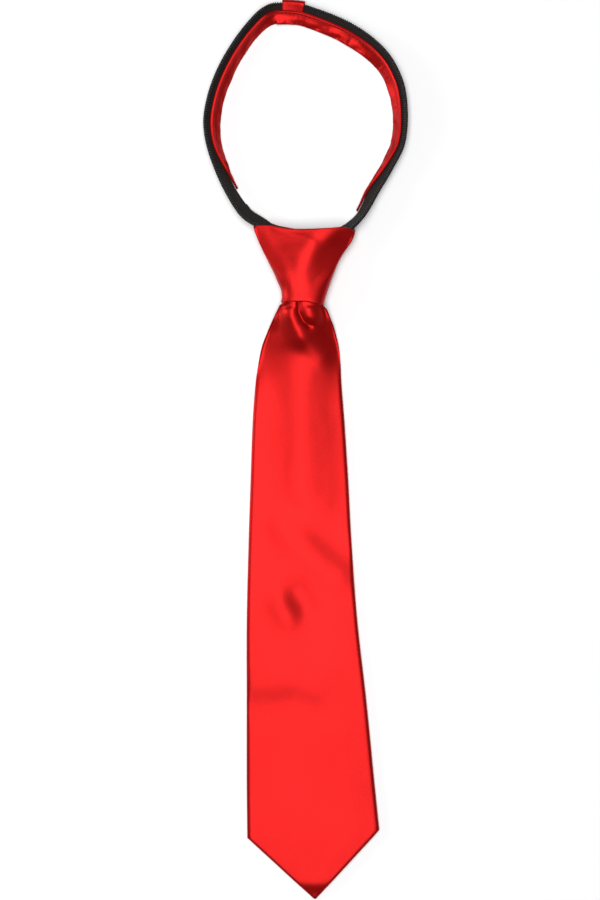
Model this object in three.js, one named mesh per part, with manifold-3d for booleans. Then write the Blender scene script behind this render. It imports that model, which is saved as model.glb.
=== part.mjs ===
import * as THREE from 'three';
import { mergeVertices } from 'three/addons/utils/BufferGeometryUtils.js';
import Module from 'manifold-3d';

// A child's ready-tied satin necktie that closes with a zipper, lying face up on its back.
// Millimetres, +Z up. The tie runs along Y: its tip points to -Y and its neck loop lies at +Y.
// The pieces are drawn from the middle of the knot's mouth, and the whole is centred at the end.

const wasm = await Module();
wasm.setup();

// Blade: satin folded round its interlining, from the knot's mouth to the tip
const bladeLength = 317;
const bladeWidth = 70.5;
const bladeThickness = 3;
const bladeLean = 6.6;
const tipLength = 36.6;
const shoulderOffset = 4.3;
const tipBluntness = 0.8;
const bladeEdgeRoll = 2;
const bladeCrown = 0.5;
const neckThickness = 6;
const neckEdgeRoll = 5.5;
const neckInsert = 3.5;
const gatherLength = 46;
const lapHeight = 0.6;
const lapWidth = 16;
const pleatHeight = 2.6;
const bladeWaveHeight = 1.1;

// Knot: a wrap of satin, open at its top and at its mouth
const knotHeight = 37.6;
const knotWidth = 53;
const knotThickness = 14.6;
const mouthWidth = 22.8;
const mouthThickness = 13.4;
const mouthCup = 10;
const cornerRoom = 2.5;
const knotWall = 1.2;
const mouthDrop = 1.6;
const rimDip = 0.8;
const rearRise = 4.4;
const knotFoldHeight = 0.9;
const knotFrontSquareness = 3.4;
const knotRearSquareness = 9;

// Zipper: two woven tapes, each with a coil of teeth on one edge
const loopWidth = 108;
const loopHeight = 121.4;
const liftRun = 20;
const tapeWidth = 9;
const tapeThickness = 1;
const coilWidth = 1.8;
const coilHeight = 1.5;
const coilOverhang = 0.8;
const tailLength = 100;
const tailRunOut = 30;
const tailDroop = 13;
const stopLength = 2.6;

// Slider: its two plates and the bridge that parts the coils
const sliderLength = 8.5;
const sliderWidth = 7.4;
const sliderPlate = 0.9;
const sliderStart = 8.5;
const sliderHollow = 3.9;
const bridgeLength = 2.4;
const bridgeWidth = 1.4;

// Facing and cover: the satin inside the loop, and the satin over the tapes' ends
const facingWidth = 6.7;
const facingThickness = 1.2;
const facingStart = 4.5;
const facingRoll = 0.35;
const facingTaper = 27;
const facingEndDistance = 128;
const facingTipWidth = 1.6;
const coverLength = 12.2;
const coverWall = 1.2;

// The space that pieces lying on each other keep
const clearance = 0.32;
const seamGap = 0.2;

// Plan of the blade: how far each edge stands out between the neck's width and the full width
const bladePlan = [
  { down: 0.000, left: 0.000, right: 0.000 },
  { down: 0.006, left: 0.025, right: 0.000 },
  { down: 0.013, left: 0.180, right: 0.170 },
  { down: 0.027, left: 0.253, right: 0.198 },
  { down: 0.040, left: 0.319, right: 0.257 },
  { down: 0.054, left: 0.403, right: 0.294 },
  { down: 0.074, left: 0.502, right: 0.350 },
  { down: 0.100, left: 0.564, right: 0.385 },
  { down: 0.134, left: 0.630, right: 0.397 },
  { down: 0.200, left: 0.708, right: 0.444 },
  { down: 0.300, left: 0.778, right: 0.498 },
  { down: 0.400, left: 0.844, right: 0.537 },
  { down: 0.535, left: 0.918, right: 0.626 },
  { down: 0.669, left: 0.953, right: 0.778 },
  { down: 0.803, left: 0.988, right: 0.907 },
  { down: 0.894, left: 1.000, right: 1.000 },
];

// Pleats under the knot: ridges and hollows from one point to another, in shares of the mouth's
// width across and down, and of the pleat's height
const pleats = [
  { fromAcross: -0.25, fromDown: -0.10, toAcross: -0.22, toDown: 0.52, width: 0.15, height: 0.45 },
  { fromAcross: -0.22, fromDown: 0.52, toAcross: 0.25, toDown: 1.00, width: 0.15, height: 0.36 },
  { fromAcross: -0.09, fromDown: -0.10, toAcross: -0.07, toDown: 0.40, width: 0.09, height: -0.85 },
  { fromAcross: -0.07, fromDown: 0.40, toAcross: 0.22, toDown: 0.60, width: 0.11, height: -0.62 },
  { fromAcross: 0.17, fromDown: -0.10, toAcross: 0.17, toDown: 0.33, width: 0.20, height: 0.40 },
  { fromAcross: -0.62, fromDown: 0.35, toAcross: -0.45, toDown: 1.00, width: 0.22, height: -0.30 },
  { fromAcross: 0.52, fromDown: 0.35, toAcross: 0.58, toDown: 0.95, width: 0.22, height: -0.34 },
];

// Slack waves of the blade, in shares of its width across, of its length down, and of its wave
const bladeWaves = [
  { fromAcross: -0.10, fromDown: 0.44, toAcross: 0.36, toDown: 0.37, width: 0.14, height: -0.55 },
  { fromAcross: -0.08, fromDown: 0.50, toAcross: -0.03, toDown: 0.53, width: 0.13, height: -1.00 },
  { fromAcross: -0.40, fromDown: 0.66, toAcross: 0.10, toDown: 0.66, width: 0.14, height: -0.50 },
  { fromAcross: -0.30, fromDown: 0.56, toAcross: 0.30, toDown: 0.48, width: 0.14, height: 0.45 },
  { fromAcross: 0.05, fromDown: 0.75, toAcross: 0.10, toDown: 0.86, width: 0.30, height: 0.40 },
];

// What holds the blade up from below: over the zipper's tail it lies on the tapes
const bladeSupport = [
  { down: 0.00, rise: 1.00, reach: 2.20 },
  { down: 0.03, rise: 0.95, reach: 2.00 },
  { down: 0.05, rise: 0.84, reach: 1.80 },
  { down: 0.10, rise: 0.68, reach: 1.40 },
  { down: 0.16, rise: 0.62, reach: 1.20 },
  { down: 0.33, rise: 0.62, reach: 1.20 },
];

// Plan of the knot, between the mouth's half width and the top's half width
const knotPlan = [
  { up: 0.000, left: 0.000, right: 0.000 },
  { up: 0.060, left: -0.030, right: 0.035 },
  { up: 0.170, left: 0.010, right: 0.140 },
  { up: 0.282, left: 0.130, right: 0.245 },
  { up: 0.394, left: 0.245, right: 0.351 },
  { up: 0.507, left: 0.384, right: 0.457 },
  { up: 0.620, left: 0.523, right: 0.596 },
  { up: 0.732, left: 0.669, right: 0.775 },
  { up: 0.845, left: 0.808, right: 0.947 },
  { up: 0.940, left: 0.930, right: 1.040 },
  { up: 1.000, left: 1.100, right: 1.090 },
];

// Folds of the knot's front, in shares of its width across, of its height up, and of its fold
const knotFolds = [
  { fromAcross: 0.30, fromDown: -0.98, toAcross: 0.06, toDown: -0.55, width: 0.17, height: 1.00 },
  { fromAcross: 0.06, fromDown: -0.55, toAcross: 0.01, toDown: 0.00, width: 0.13, height: 0.90 },
  { fromAcross: -0.28, fromDown: -0.62, toAcross: -0.12, toDown: -0.60, width: 0.05, height: -0.45 },
  { fromAcross: 0.12, fromDown: -0.32, toAcross: 0.20, toDown: -0.38, width: 0.05, height: -0.45 },
];

// The loop from the centre back to the knot: the place of the tape's coil edge in shares of the
// loop's width across and height up, and the turn of the tape in degrees (0 lies flat with its
// free edge inwards, 90 stands on its free edge, 180 lies flat with its free edge outwards)
const centreBack = { across: -0.044, up: 0.993, turn: 24 };
const loopLeft = [
  { across: -0.108, up: 0.996, turn: 18 },
  { across: -0.158, up: 0.990, turn: 24 },
  { across: -0.206, up: 0.963, turn: 42 },
  { across: -0.278, up: 0.893, turn: 54 },
  { across: -0.362, up: 0.789, turn: 53 },
  { across: -0.425, up: 0.684, turn: 50 },
  { across: -0.465, up: 0.581, turn: 50 },
  { across: -0.484, up: 0.476, turn: 48 },
  { across: -0.469, up: 0.371, turn: 54 },
  { across: -0.430, up: 0.266, turn: 51 },
  { across: -0.376, up: 0.162, turn: 51 },
  { across: -0.298, up: 0.056, turn: 44 },
];
const loopRight = [
  { across: 0.006, up: 0.986, turn: 29 },
  { across: 0.070, up: 0.968, turn: 28 },
  { across: 0.162, up: 0.938, turn: 24 },
  { across: 0.248, up: 0.902, turn: 21 },
  { across: 0.358, up: 0.832, turn: 33 },
  { across: 0.430, up: 0.760, turn: 44 },
  { across: 0.474, up: 0.688, turn: 50 },
  { across: 0.501, up: 0.617, turn: 52 },
  { across: 0.513, up: 0.493, turn: 58 },
  { across: 0.498, up: 0.371, turn: 59 },
  { across: 0.441, up: 0.266, turn: 58 },
  { across: 0.372, up: 0.162, turn: 54 },
  { across: 0.303, up: 0.057, turn: 62 },
];

// The tape inside the knot: its spread from the closed row to the knot's corner, its place in the
// knot's height, its turn, and whether it runs at the slider's level
const knotRoute = [
  { spread: 1.00, up: 1.000, turn: 63, atSlider: 0 },
  { spread: 0.73, up: 0.865, turn: 78, atSlider: 0 },
  { spread: 0.47, up: 0.730, turn: 105, atSlider: 0 },
  { spread: 0.25, up: 0.598, turn: 138, atSlider: 0.5 },
  { spread: 0.10, up: 0.465, turn: 165, atSlider: 1 },
  { spread: 0.03, up: 0.360, turn: 180, atSlider: 1 },
  { spread: 0.00, up: 0.240, turn: 180 + mouthCup * 0.8, atSlider: 1 },
  { spread: 0.00, up: 0.106, turn: 180 + mouthCup, atSlider: 0 },
  { spread: 0.00, up: -0.070, turn: 180 + mouthCup, atSlider: 0 },
];

// How finely the faces are cut
const stepsBetweenStations = 3;
const bladeColumns = 15;
const knotSides = 36;
const knotRows = 14;
const innerRows = 8;

// Values that several pieces follow
const mouthHalf = mouthWidth / 2;
const knotHalf = knotWidth / 2;
const neckHalf = mouthHalf - knotWall - 2 * clearance;
const coilBase = tapeThickness / 2 + clearance;
const facingEnd = facingStart + facingWidth;
const up = new THREE.Vector3(0, 0, 1);

function clamp01(value) {
  return Math.min(1, Math.max(0, value));
}

function smoothStep(value) {
  const t = clamp01(value);
  return t * t * (3 - 2 * t);
}

// Smooth value of one column at a place between a table's rows
function readTable(rows, key, column, at) {
  let i = 0;
  while (i < rows.length - 2 && at > rows[i + 1][key]) i += 1;
  const before = rows[Math.max(0, i - 1)];
  const a = rows[i];
  const b = rows[i + 1];
  const after = rows[Math.min(rows.length - 1, i + 2)];
  const span = b[key] - a[key];
  const t = clamp01((at - a[key]) / span);
  const slopeA = (b[column] - before[column]) / (b[key] - before[key]) * span;
  const slopeB = (after[column] - a[column]) / (after[key] - a[key]) * span;
  const t2 = t * t;
  const t3 = t2 * t;
  return (2 * t3 - 3 * t2 + 1) * a[column] + (t3 - 2 * t2 + t) * slopeA
    + (3 * t2 - 2 * t3) * b[column] + (t3 - t2) * slopeB;
}

// Height at a point beside a table of ridges and hollows
function foldHeight(folds, x, down, widthUnit, lengthUnit) {
  let height = 0;
  for (const fold of folds) {
    const from = new THREE.Vector2(fold.fromAcross * widthUnit, fold.fromDown * lengthUnit);
    const along = new THREE.Vector2(fold.toAcross * widthUnit, fold.toDown * lengthUnit).sub(from);
    const point = new THREE.Vector2(x, down).sub(from);
    const t = clamp01(point.dot(along) / along.lengthSq());
    const distance = point.sub(along.multiplyScalar(t)).length() / (fold.width * widthUnit);
    height += fold.height * Math.exp(-distance * distance);
  }
  return height;
}

// Closed solid from rings with equal numbers of points, its ends closed by strips across, or its
// last ring joined to its first
function loft(rings, joinEnds = false) {
  const count = rings[0].length;
  const positions = [];
  for (const ring of rings) {
    for (const point of ring) positions.push(point.x, point.y, point.z);
  }
  const indices = [];
  const spans = joinEnds ? rings.length : rings.length - 1;
  for (let i = 0; i < spans; i += 1) {
    const a = i * count;
    const b = ((i + 1) % rings.length) * count;
    for (let k = 0; k < count; k += 1) {
      const next = (k + 1) % count;
      indices.push(a + k, a + next, b + next, a + k, b + next, b + k);
    }
  }
  if (!joinEnds) {
    const last = (rings.length - 1) * count;
    for (let k = 0; k < count / 2 - 1; k += 1) {
      const far = count - 1 - k;
      indices.push(k, far, k + 1, k + 1, far, far - 1);
      indices.push(last + k, last + k + 1, last + far, last + k + 1, last + far - 1, last + far);
    }
  }
  const geometry = new THREE.BufferGeometry();
  geometry.setAttribute('position', new THREE.Float32BufferAttribute(positions, 3));
  geometry.setIndex(dropSlivers(indices, positions));
  return faceOutwards(geometry);
}

// A triangle with two corners in one place is left out
function dropSlivers(indices, positions) {
  const place = (i) => positions.slice(3 * i, 3 * i + 3).map((value) => value.toFixed(4)).join(' ');
  const kept = [];
  for (let i = 0; i < indices.length; i += 3) {
    const corners = indices.slice(i, i + 3);
    if (new Set(corners.map(place)).size === 3) kept.push(...corners);
  }
  return kept;
}

function faceOutwards(geometry) {
  const position = geometry.attributes.position;
  const index = geometry.index.array;
  const a = new THREE.Vector3();
  const b = new THREE.Vector3();
  const c = new THREE.Vector3();
  let volume = 0;
  for (let i = 0; i < index.length; i += 3) {
    a.fromBufferAttribute(position, index[i]);
    b.fromBufferAttribute(position, index[i + 1]);
    c.fromBufferAttribute(position, index[i + 2]);
    volume += a.dot(b.cross(c));
  }
  if (volume < 0) {
    for (let i = 0; i < index.length; i += 3) {
      const second = index[i + 1];
      index[i + 1] = index[i + 2];
      index[i + 2] = second;
    }
  }
  geometry.computeVertexNormals();
  return geometry;
}

function toSolid(geometry) {
  const bare = geometry.clone();
  bare.deleteAttribute('normal');
  bare.deleteAttribute('uv');
  const merged = mergeVertices(bare, 1e-4);
  return new wasm.Manifold(new wasm.Mesh({
    numProp: 3,
    vertProperties: new Float32Array(merged.attributes.position.array),
    triVerts: new Uint32Array(merged.index.array),
  }));
}

function fromSolid(solid) {
  const mesh = solid.getMesh();
  const geometry = new THREE.BufferGeometry();
  geometry.setAttribute('position', new THREE.BufferAttribute(mesh.vertProperties, 3));
  geometry.setIndex(new THREE.BufferAttribute(mesh.triVerts, 1));
  geometry.computeVertexNormals();
  return geometry;
}

function box(lowX, lowY, lowZ, highX, highY, highZ) {
  const geometry = new THREE.BoxGeometry(highX - lowX, highY - lowY, highZ - lowZ);
  geometry.translate((lowX + highX) / 2, (lowY + highY) / 2, (lowZ + highZ) / 2);
  return geometry;
}

// Zipper route

// The zipper's section, measured from the coil edge of the tape: "in" runs across the tape to its
// free edge, and "out" stands off the face that lies on the neck
const tapeSection = [
  { in: 0, out: -tapeThickness / 2 },
  { in: 0, out: tapeThickness / 2 },
  { in: tapeWidth, out: tapeThickness / 2 },
  { in: tapeWidth, out: -tapeThickness / 2 },
];
const coilSection = [
  { in: -coilOverhang, out: coilBase + coilHeight * 0.3 },
  { in: -coilOverhang, out: coilBase + coilHeight * 0.7 },
  { in: -coilOverhang + coilWidth * 0.35, out: coilBase + coilHeight },
  { in: coilWidth - coilOverhang, out: coilBase + coilHeight * 0.75 },
  { in: coilWidth - coilOverhang, out: coilBase },
  { in: -coilOverhang + coilWidth * 0.35, out: coilBase },
];

function facingSection(start, end) {
  const roll = Math.min(facingRoll, (end - start) / 4);
  const middle = coilBase + facingThickness / 2;
  return [
    { in: start, out: middle },
    { in: start + roll, out: coilBase + facingThickness },
    { in: end - roll, out: coilBase + facingThickness },
    { in: end, out: middle },
    { in: end - roll, out: coilBase },
    { in: start + roll, out: coilBase },
  ];
}

// Width of the facing at a distance from the centre back
function facingSpan(distance) {
  const thin = smoothStep((distance - (facingEndDistance - facingTaper)) / facingTaper);
  const end = THREE.MathUtils.lerp(facingEnd, tapeWidth, thin);
  const start = THREE.MathUtils.lerp(facingStart, tapeWidth - facingTipWidth, thin);
  return { start, end };
}

// How far the section reaches below the tape's coil edge at a turn
function sectionDepth(turn, hasFacing, distance) {
  const points = [...tapeSection, ...coilSection];
  if (hasFacing) {
    const span = facingSpan(distance);
    points.push(...facingSection(span.start, span.end));
  }
  return Math.max(...points.map((point) => point.in * Math.sin(turn) - point.out * Math.cos(turn)));
}

// How far the coil reaches past the tape's coil edge, towards the other tape, at a turn
function coilReach(degrees) {
  const turn = THREE.MathUtils.degToRad(degrees);
  return Math.max(...coilSection.map((point) => point.in * Math.cos(turn) + point.out * Math.sin(turn)));
}

// The frames of one tape from the centre back to the end of the tail
function zipperFrames(side, loopRows, otherRows) {
  const passageFloor = knotWall + clearance;
  const sliderFloor = passageFloor + sliderPlate + clearance;
  const topSpread = readTable(knotPlan, 'up', side < 0 ? 'left' : 'right', 1);
  const topHalf = mouthHalf + (knotHalf - mouthHalf) * topSpread;
  const cornerX = topHalf - knotWall - cornerRoom;
  const liftFrom = knotHeight + rearRise + clearance;
  const loopStation = (row) => {
    const y = knotHeight + row.up * loopHeight;
    return {
      x: row.across * loopWidth,
      y,
      turn: row.turn,
      lift: passageFloor * (1 - smoothStep((y - liftFrom) / liftRun)),
    };
  };
  const closedStation = (y, turn, lift) => ({ x: side * (seamGap + coilReach(turn)), y, turn, lift });
  const stations = [otherRows[0], centreBack, ...loopRows].map(loopStation);
  for (const row of knotRoute) {
    const closedX = seamGap + coilReach(Math.max(180, row.turn));
    stations.push({
      x: side * (closedX + row.spread * (cornerX - closedX)),
      y: row.up * knotHeight,
      turn: row.turn,
      lift: THREE.MathUtils.lerp(passageFloor, sliderFloor, row.atSlider),
    });
  }
  stations.push(closedStation(-tailRunOut * 0.27, 180 + mouthCup * 0.4, passageFloor * 0.5));
  stations.push(closedStation(-tailRunOut * 0.55, 180 - tailDroop * 0.3, passageFloor * 0.1));
  stations.push(closedStation(-tailRunOut, 180 - tailDroop, 0));
  stations.push(closedStation(-tailLength / 2 - tailRunOut / 2, 180 - tailDroop, 0));
  stations.push(closedStation(-tailLength, 180 - tailDroop, 0));
  const path = new THREE.CatmullRomCurve3(stations.map((s) => new THREE.Vector3(s.x, s.y, 0)));
  const poses = new THREE.CatmullRomCurve3(
    stations.map((s) => new THREE.Vector3(THREE.MathUtils.degToRad(s.turn), s.lift, 0)),
    false,
    'catmullrom',
  );
  const frames = [];
  let distance = 0;
  const last = stations.length - 1;
  for (let step = stepsBetweenStations; step <= last * stepsBetweenStations; step += 1) {
    const t = step / (last * stepsBetweenStations);
    const at = path.getPoint(t);
    const tangent = path.getTangent(t);
    const pose = poses.getPoint(t);
    if (frames.length > 0) {
      const before = frames[frames.length - 1].at;
      distance += Math.hypot(at.x - before.x, at.y - before.y);
    }
    const inward = new THREE.Vector3().crossVectors(up, tangent).normalize().multiplyScalar(-side);
    const hasFacing = distance < facingEndDistance;
    at.z = Math.max(0, pose.y) + sectionDepth(pose.x, hasFacing, distance);
    frames.push({ at, inward, turn: pose.x, distance });
  }
  return frames;
}

function placeOn(frame, point) {
  const across = point.in * Math.cos(frame.turn) + point.out * Math.sin(frame.turn);
  const height = point.out * Math.cos(frame.turn) - point.in * Math.sin(frame.turn);
  return frame.at.clone().addScaledVector(frame.inward, across).addScaledVector(up, height);
}

// The frame at a distance from the centre back
function frameAt(frames, distance) {
  let i = 0;
  while (i < frames.length - 2 && frames[i + 1].distance < distance) i += 1;
  const a = frames[i];
  const b = frames[i + 1];
  const t = (distance - a.distance) / (b.distance - a.distance);
  return {
    at: a.at.clone().lerp(b.at, t),
    inward: a.inward.clone().lerp(b.inward, t).normalize(),
    turn: THREE.MathUtils.lerp(a.turn, b.turn, t),
    distance,
  };
}

// The frames from one distance to another, with an exact frame at each end
function stretch(frames, from, to) {
  const inside = frames.filter((frame) => frame.distance > from + 0.5 && frame.distance < to - 0.5);
  return [frameAt(frames, from), ...inside, frameAt(frames, to)];
}

function sweep(frames, sectionAt) {
  return loft(frames.map((frame) => sectionAt(frame).map((point) => placeOn(frame, point))));
}

// Blade

function bladeHalfWidths(down) {
  const shoulderLeft = bladeLength - tipLength + shoulderOffset;
  const shoulderRight = bladeLength - tipLength;
  const share = down / bladeLength;
  const spread = bladeWidth / 2 - neckHalf;
  const widthAt = (column) => neckHalf + spread * readTable(bladePlan, 'down', column, share);
  const narrow = (full, shoulder) => {
    const t = clamp01((down - shoulder) / (bladeLength - shoulder));
    return THREE.MathUtils.lerp(full, tipBluntness, t);
  };
  if (down < 0) return { left: neckHalf, right: neckHalf };
  return {
    left: narrow(widthAt('left'), shoulderLeft),
    right: narrow(widthAt('right'), shoulderRight),
  };
}

// Height of what the blade lies on, highest along the zipper's tail
function supportHeight(x, down, mouthRise) {
  const share = clamp01(down / bladeLength);
  const lastRow = bladeSupport[bladeSupport.length - 1];
  const fall = 1 - smoothStep((down - tailLength) / tailRunOut);
  const at = Math.min(share, lastRow.down);
  const rise = mouthRise * readTable(bladeSupport, 'down', 'rise', at) * fall;
  const reach = mouthWidth * readTable(bladeSupport, 'down', 'reach', at) / 1.2;
  const t = clamp01((Math.abs(x) - neckHalf * fall) / reach);
  return rise * Math.cos(t * Math.PI / 2) ** 2;
}

function bladeRowsDown() {
  const shoulderRight = bladeLength - tipLength;
  const rows = [-neckInsert, -neckInsert / 2];
  const finest = 2.2;
  const growth = 0.085;
  const coarsest = 13;
  for (let down = 0; down < shoulderRight - 4; down += Math.min(coarsest, finest + growth * down)) {
    rows.push(down);
  }
  rows.push(shoulderRight, shoulderRight + shoulderOffset);
  const tipRows = 4;
  const start = shoulderRight + shoulderOffset;
  for (let i = 1; i <= tipRows; i += 1) {
    rows.push(THREE.MathUtils.lerp(start, bladeLength, i / tipRows));
  }
  return rows;
}

function makeBlade(mouthRise) {
  const rings = bladeRowsDown().map((down) => {
    const half = bladeHalfWidths(down);
    const gather = 1 - smoothStep(down / gatherLength);
    const thickness = THREE.MathUtils.lerp(bladeThickness, neckThickness, gather);
    const middleX = bladeLean * Math.max(0, down) / bladeLength;
    const roll = Math.min(
      THREE.MathUtils.lerp(bladeEdgeRoll, neckEdgeRoll, gather),
      half.left * 0.9,
      half.right * 0.9,
    );
    const rollShares = [0.06, 0.3, 0.65, 1];
    const xs = rollShares.map((share) => -half.left + share * roll);
    for (let i = 1; i < bladeColumns; i += 1) {
      xs.push(THREE.MathUtils.lerp(-half.left + roll, half.right - roll, i / bladeColumns));
    }
    for (const share of [...rollShares].reverse()) xs.push(half.right - share * roll);
    const hollowShare = (x) => {
      const depth = Math.min(1, Math.min(x + half.left, half.right - x) / roll);
      return Math.sqrt(Math.max(0, 1 - (1 - depth) ** 2));
    };
    const lap = (x) => {
      const lapFade = smoothStep((down - gatherLength) / gatherLength)
        * (1 - smoothStep((down - bladeLength + 2 * tipLength) / (tipLength / 2)));
      return x > 0 ? lapHeight * lapFade * (1 - smoothStep(x / lapWidth)) : 0;
    };
    const fold = (x) => {
      const pleat = pleatHeight * foldHeight(pleats, x, down, mouthWidth, mouthWidth);
      const wave = bladeWaveHeight * foldHeight(bladeWaves, x - middleX, down, bladeWidth, bladeLength);
      const free = pleat > 0 ? (down - mouthDrop) / (2 * mouthDrop) : (down + neckInsert) / neckInsert;
      return pleat * smoothStep(free) + wave;
    };
    const at = (x, level) => {
      const rounded = hollowShare(x);
      const base = supportHeight(x + middleX, down, mouthRise);
      const middle = base + thickness / 2;
      const crown = bladeCrown * (1 - gather) * (1 - (2 * x / (half.left + half.right)) ** 2);
      const over = level > 0 ? crown + fold(x + middleX) : 0;
      const under = level < 0 ? lap(x) : 0;
      const z = middle + rounded * (level * thickness / 2 + over + under);
      return new THREE.Vector3(x + middleX, -down, z);
    };
    const ring = [at(-half.left, 0)];
    for (const x of xs) ring.push(at(x, 1));
    ring.push(at(half.right, 0));
    for (const x of [...xs].reverse()) ring.push(at(x, -1));
    return ring;
  });
  return loft(rings);
}

// Knot

function knotRing(share, inset) {
  const thickness = THREE.MathUtils.lerp(mouthThickness, knotThickness, smoothStep(share));
  const spread = knotHalf - mouthHalf;
  const left = mouthHalf + spread * readTable(knotPlan, 'up', 'left', share) - inset;
  const right = mouthHalf + spread * readTable(knotPlan, 'up', 'right', share) - inset;
  const halfHeight = thickness / 2 - inset;
  const ring = [];
  for (let i = 0; i < knotSides; i += 1) {
    const angle = 2 * Math.PI * i / knotSides;
    const cosine = Math.cos(angle);
    const sine = Math.sin(angle);
    const squareness = sine > 0 ? knotFrontSquareness : knotRearSquareness;
    const outX = Math.sign(cosine) * Math.abs(cosine) ** (2 / squareness);
    const outZ = Math.sign(sine) * Math.abs(sine) ** (2 / squareness);
    const x = outX * (outX < 0 ? left : right);
    const leftSide = smoothStep(-outX);
    const rear = smoothStep(-2 * outZ - 1);
    const corner = smoothStep((-outX - 0.75) / 0.25);
    const dip = -rimDip * (1 - outX * outX) + rimDip * leftSide * 0.8;
    const rise = rearRise * smoothStep(-1.5 * outX) * (1 - corner) * rear + dip;
    const drop = -mouthDrop * smoothStep(outX);
    const y = share * knotHeight + rise * smoothStep(share * 3 - 2) + drop * (1 - smoothStep(share * 4));
    let z = thickness / 2 + outZ * halfHeight;
    if (inset === 0 && outZ > 0) {
      const fold = foldHeight(knotFolds, x, -share * knotHeight, knotWidth, knotHeight);
      z += knotFoldHeight * fold * outZ * smoothStep(share * 8 + 0.2) * smoothStep((1 - share) * 8 + 0.4);
    }
    ring.push(new THREE.Vector3(x, y, z));
  }
  return ring;
}

function makeKnot() {
  const rings = [];
  for (let i = 0; i <= knotRows; i += 1) rings.push(knotRing(i / knotRows, 0));
  for (let i = innerRows; i >= 0; i -= 1) rings.push(knotRing(i / innerRows, knotWall));
  return loft(rings, true);
}

// Slider and stop

function makeSlider() {
  const low = knotWall + clearance;
  const top = low + 2 * sliderPlate + sliderHollow;
  const half = sliderWidth / 2;
  const end = sliderStart + sliderLength;
  const lower = toSolid(box(-half, sliderStart, low, half, end, low + sliderPlate));
  const upper = toSolid(box(-half, sliderStart, top - sliderPlate, half, end, top));
  const bridge = toSolid(
    box(-bridgeWidth / 2, end - bridgeLength, low + sliderPlate / 2, bridgeWidth / 2, end, top - sliderPlate / 2),
  );
  return fromSolid(lower.add(upper).add(bridge));
}

function makeStop(tailFrame) {
  const half = coilWidth;
  const top = tailFrame.at.z - coilBase;
  return box(-half, -tailLength, top - coilHeight, half, -tailLength + stopLength, top);
}

// Cover over the tapes' ends: a fold of satin down both faces of the tape, over its coil edge
function coverSection() {
  const inner = tapeThickness / 2 + clearance;
  const outer = inner + coverWall;
  const reach = facingStart - clearance;
  return [
    { in: reach, out: outer },
    { in: -clearance, out: outer },
    { in: -clearance - coverWall, out: inner },
    { in: -clearance - coverWall, out: -inner },
    { in: -clearance, out: -outer },
    { in: reach, out: -outer },
    { in: reach, out: -inner },
    { in: -clearance, out: -inner },
    { in: -clearance, out: inner },
    { in: reach, out: inner },
  ];
}

// A U-shaped section has its ends closed leaf by leaf, so it is joined from two runs of rings
function sweepCover(frames) {
  const rings = frames.map((frame) => coverSection().map((point) => placeOn(frame, point)));
  const count = rings[0].length;
  const positions = [];
  for (const ring of rings) {
    for (const point of ring) positions.push(point.x, point.y, point.z);
  }
  const indices = [];
  for (let i = 0; i < rings.length - 1; i += 1) {
    for (let k = 0; k < count; k += 1) {
      const a = i * count + k;
      const b = i * count + (k + 1) % count;
      indices.push(a, b, b + count, a, b + count, a + count);
    }
  }
  const flat = coverSection().map((point) => new THREE.Vector2(point.in, point.out));
  const last = (rings.length - 1) * count;
  for (const [a, b, c] of THREE.ShapeUtils.triangulateShape(flat, [])) {
    indices.push(a, c, b, last + a, last + b, last + c);
  }
  const geometry = new THREE.BufferGeometry();
  geometry.setAttribute('position', new THREE.Float32BufferAttribute(positions, 3));
  geometry.setIndex(indices);
  return faceOutwards(geometry);
}

// Assembly

const satin = { color: 0xd8181c, roughness: 0.35, metalness: 0 };
const blackTape = { color: 0x242022, roughness: 0.85, metalness: 0 };
const blackNylon = { color: 0x1b191b, roughness: 0.4, metalness: 0 };
const blackMetal = { color: 0x2a2a2c, roughness: 0.4, metalness: 0.8 };
const tie = new THREE.Group();

function addPiece(name, geometry, look) {
  const mesh = new THREE.Mesh(geometry, new THREE.MeshStandardMaterial(look));
  mesh.name = name;
  tie.add(mesh);
}

const leftFrames = zipperFrames(-1, loopLeft, loopRight);
const rightFrames = zipperFrames(1, loopRight, loopLeft);
const tailFrame = leftFrames[leftFrames.length - 1];
const cupRise = neckHalf * 0.7 * Math.tan(THREE.MathUtils.degToRad(mouthCup));
const neckRise = knotWall + 2 * clearance + coilBase + coilHeight + tapeThickness / 2 + cupRise;
const coverHalf = coverLength / 2;
const halves = [
  { side: 'left', frames: leftFrames },
  { side: 'right', frames: rightFrames },
];

addPiece('blade', makeBlade(neckRise), satin);
addPiece('knot', makeKnot(), satin);
for (const { side, frames } of halves) {
  const end = frames[frames.length - 1].distance;
  addPiece(`tape_${side}`, sweep(stretch(frames, seamGap, end), () => tapeSection), blackTape);
  const coilFrames = stretch(frames, coverHalf + clearance, end - stopLength - clearance);
  addPiece(`coil_${side}`, sweep(coilFrames, () => coilSection), blackNylon);
}
const facingFrames = [
  ...stretch(leftFrames, 0, facingEndDistance).reverse(),
  ...stretch(rightFrames, 0, facingEndDistance).slice(1),
];
addPiece('facing', sweep(facingFrames, (frame) => {
  const span = facingSpan(frame.distance);
  return facingSection(span.start, span.end);
}), satin);
const coverFrames = [
  ...stretch(leftFrames, 0, coverHalf).reverse(),
  ...stretch(rightFrames, 0, coverHalf).slice(1),
];
addPiece('back_cover', sweepCover(coverFrames), satin);
addPiece('slider', makeSlider(), blackMetal);
addPiece('bottom_stop', makeStop(tailFrame), blackNylon);

// The origin is under the middle of the whole tie
const reach = new THREE.Box3().setFromObject(tie);
const centre = reach.getCenter(new THREE.Vector3());
tie.position.set(-centre.x, -centre.y, 0);
tie.updateMatrixWorld(true);

export default tie;
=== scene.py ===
import math
import random

import bmesh
import bpy
from mathutils import Matrix, Vector, noise


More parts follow.
